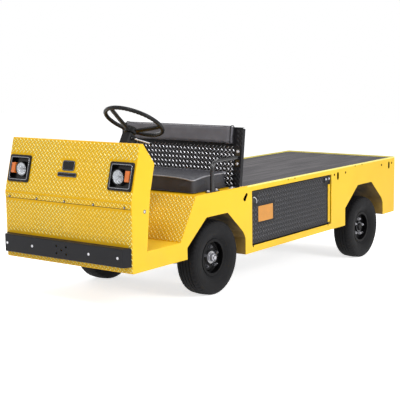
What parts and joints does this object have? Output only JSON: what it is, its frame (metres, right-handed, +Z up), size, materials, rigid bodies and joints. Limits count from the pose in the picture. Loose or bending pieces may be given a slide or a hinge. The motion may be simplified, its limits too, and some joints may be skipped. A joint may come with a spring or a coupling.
{
  "type": "electric burden carrier",
  "caption": "Flat-deck electric industrial carrier with a bench seat, tilted steering wheel, square lamps, battery doors and a rear tow hitch.",
  "frame": {"origin": "on the ground, under the middle of the whole machine's box", "axes": "+X forward along the machine, +Y to its left, +Z up from the ground"},
  "size_m": [3.3446, 0.99, 1.156],
  "materials": {
    "battery_case": "battery cases",
    "black_paint": "satin black",
    "black_plastic": "moulded black plastic",
    "deck_coat": "dark grey anti-slip coating",
    "lamp_amber": "amber lens",
    "lamp_clear": "clear lens",
    "lamp_red": "red lens",
    "lamp_surround": "gloss black moulding",
    "steel": "bare machined steel",
    "tyre_rubber": "matt tyre rubber",
    "vinyl": "black vinyl, fine grain",
    "yellow_paint": "gloss yellow enamel"
  },
  "bodies": {
    "truck_body": {"side_panel_left": "yellow_paint", "side_panel_right": "yellow_paint", "front_panel_upper": "yellow_paint", "front_panel_lower": "yellow_paint", "front_bumper": "black_paint", "lamp_bezels": "lamp_surround", "headlamp_lenses": "lamp_clear", "turn_lenses": "lamp_amber", "dash_panel": "yellow_paint", "floor_pan": "yellow_paint", "seat_base": "yellow_paint", "seat_cushion": "vinyl", "seat_back_panel": "yellow_paint", "backrest_pad": "vinyl", "hip_restraints": "black_paint", "deck_plate": "deck_coat", "rear_panel": "yellow_paint", "tail_lamps": "lamp_red", "wheel_arches": "yellow_paint", "door_hinges": "steel", "battery_pack": "battery_case", "chassis_frame": "black_paint", "deck_bearers": "black_paint", "steering_column": "black_plastic", "front_axle": "black_paint", "leaf_springs": "black_paint", "rear_axle": "black_paint", "pedals": "black_paint", "tow_hitch": "black_paint"},
    "steering_wheel": {"steering_wheel": "black_plastic"},
    "knuckle_left": {"knuckle_left": "black_paint"},
    "knuckle_right": {"knuckle_right": "black_paint"},
    "front_wheel_left": {"tyre_front_left": "tyre_rubber", "wheel_front_left": "black_paint"},
    "front_wheel_right": {"tyre_front_right": "tyre_rubber", "wheel_front_right": "black_paint"},
    "rear_wheel_left": {"tyre_rear_left": "tyre_rubber", "wheel_rear_left": "black_paint"},
    "rear_wheel_right": {"tyre_rear_right": "tyre_rubber", "wheel_rear_right": "black_paint"},
    "tie_rod": {"tie_rod": "black_paint"},
    "pitman_arm": {"pitman_arm": "black_paint"},
    "drag_link": {"drag_link": "black_paint"},
    "door_left": {"battery_door_left": "black_paint"},
    "door_right": {"battery_door_right": "black_paint"}
  },
  "joints": [
    {"name": "steer_left", "type": "hinge", "parent": "truck_body", "child": "knuckle_left", "pos_m": [0.82872, 0.305, 0.2325], "axis": [0.0468, 0, 0.9989], "range_deg": [-26, 26]},
    {"name": "steer_right", "type": "hinge", "parent": "truck_body", "child": "knuckle_right", "pos_m": [0.82872, -0.305, 0.2325], "axis": [0.0468, 0, 0.9989], "range_deg": [-26, 26]},
    {"name": "tie_rod_pivot", "type": "hinge", "parent": "knuckle_left", "child": "tie_rod", "pos_m": [0.71612, 0.305, 0.17971], "axis": [0.0468, 0, 0.9989], "range_deg": [-26, 26]},
    {"name": "pitman_pivot", "type": "hinge", "parent": "truck_body", "child": "pitman_arm", "pos_m": [1.48049, 0.305, 0.25503], "axis": [0.0468, 0, 0.9989], "range_deg": [-26, 26]},
    {"name": "drag_link_pivot", "type": "hinge", "parent": "knuckle_left", "child": "drag_link", "pos_m": [0.826, 0.21, 0.17456], "axis": [0.0468, 0, 0.9989], "range_deg": [-26, 26]},
    {"name": "steering_wheel_turn", "type": "hinge", "parent": "truck_body", "child": "steering_wheel", "pos_m": [1.30006, 0.221, 1.06235], "axis": [-0.4698, 0, 0.8828], "range_deg": [-470, 470]},
    {"name": "spin_front_left", "type": "hinge", "parent": "knuckle_left", "child": "front_wheel_left", "pos_m": [0.82872, 0.418, 0.2325], "axis": [0, 1, 0], "continuous": true},
    {"name": "spin_front_right", "type": "hinge", "parent": "knuckle_right", "child": "front_wheel_right", "pos_m": [0.82872, -0.418, 0.2325], "axis": [0, 1, 0], "continuous": true},
    {"name": "spin_rear_left", "type": "hinge", "parent": "truck_body", "child": "rear_wheel_left", "pos_m": [-1.07337, 0.418, 0.2325], "axis": [0, 1, 0], "continuous": true},
    {"name": "spin_rear_right", "type": "hinge", "parent": "truck_body", "child": "rear_wheel_right", "pos_m": [-1.07337, -0.418, 0.2325], "axis": [0, 1, 0], "continuous": true},
    {"name": "door_left_hinge", "type": "hinge", "parent": "truck_body", "child": "door_left", "pos_m": [-0.54517, 0.476, 0.30987], "axis": [0.0468, 0, 0.9989], "range_deg": [0, 100]},
    {"name": "door_right_hinge", "type": "hinge", "parent": "truck_body", "child": "door_right", "pos_m": [-0.54517, -0.476, 0.30987], "axis": [-0.0468, 0, -0.9989], "range_deg": [0, 100]}
  ],
  "couplings": [
    {"joint": "steer_right", "follows": "steer_left", "ratio": 1},
    {"joint": "tie_rod_pivot", "follows": "steer_left", "ratio": -1},
    {"joint": "pitman_pivot", "follows": "steer_left", "ratio": 1},
    {"joint": "drag_link_pivot", "follows": "steer_left", "ratio": -1},
    {"joint": "steering_wheel_turn", "follows": "steer_left", "ratio": 18}
  ]
}
